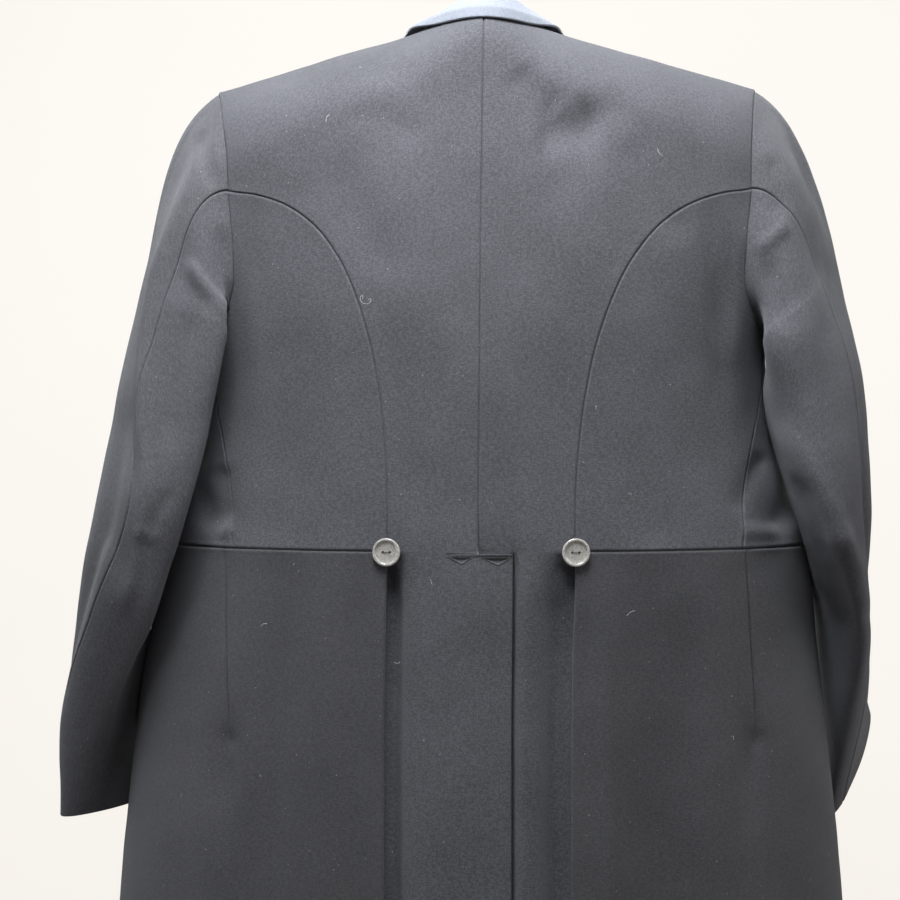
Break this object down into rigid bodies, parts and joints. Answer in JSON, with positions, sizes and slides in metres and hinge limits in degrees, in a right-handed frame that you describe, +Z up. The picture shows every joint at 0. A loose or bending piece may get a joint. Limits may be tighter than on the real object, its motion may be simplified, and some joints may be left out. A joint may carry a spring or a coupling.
{
  "type": "morning coat",
  "caption": "Hollow, filled-out morning coat with cutaway skirts, lapped tails below a centre vent, buttons over side pleats, seamed sleeves, a rolled collar and pointed lapels.",
  "frame": {"origin": "centre of the neck base, where the wearer's shoulders hold the coat up", "axes": "+Z up, +Y towards the coat's back, +X towards the coat's own left side"},
  "size_m": [0.7678, 0.2829, 1.0725],
  "materials": {
    "back_left": "matt fine worsted",
    "side_body_left": "matt fine worsted",
    "forepart_left": "matt fine worsted",
    "skirt_left": "matt fine worsted",
    "top_sleeve_left": "matt fine worsted",
    "under_sleeve_left": "matt fine worsted",
    "lapel_left": "matt fine worsted",
    "back_button_left": "polished horn look",
    "back_right": "matt fine worsted",
    "side_body_right": "matt fine worsted",
    "forepart_right": "matt fine worsted",
    "skirt_right": "matt fine worsted",
    "top_sleeve_right": "matt fine worsted",
    "under_sleeve_right": "matt fine worsted",
    "lapel_right": "matt fine worsted",
    "back_button_right": "polished horn look",
    "front_button": "polished horn look",
    "collar": "matt fine worsted, lit from above"
  },
  "bodies": {
    "root": {"back_left": "back_left", "side_body_left": "side_body_left", "forepart_left": "forepart_left", "skirt_left": "skirt_left", "top_sleeve_left": "top_sleeve_left", "under_sleeve_left": "under_sleeve_left", "lapel_left": "lapel_left", "back_button_left": "back_button_left", "back_right": "back_right", "side_body_right": "side_body_right", "forepart_right": "forepart_right", "skirt_right": "skirt_right", "top_sleeve_right": "top_sleeve_right", "under_sleeve_right": "under_sleeve_right", "lapel_right": "lapel_right", "back_button_right": "back_button_right", "front_button": "front_button", "collar": "collar"}
  },
  "joints": []
}
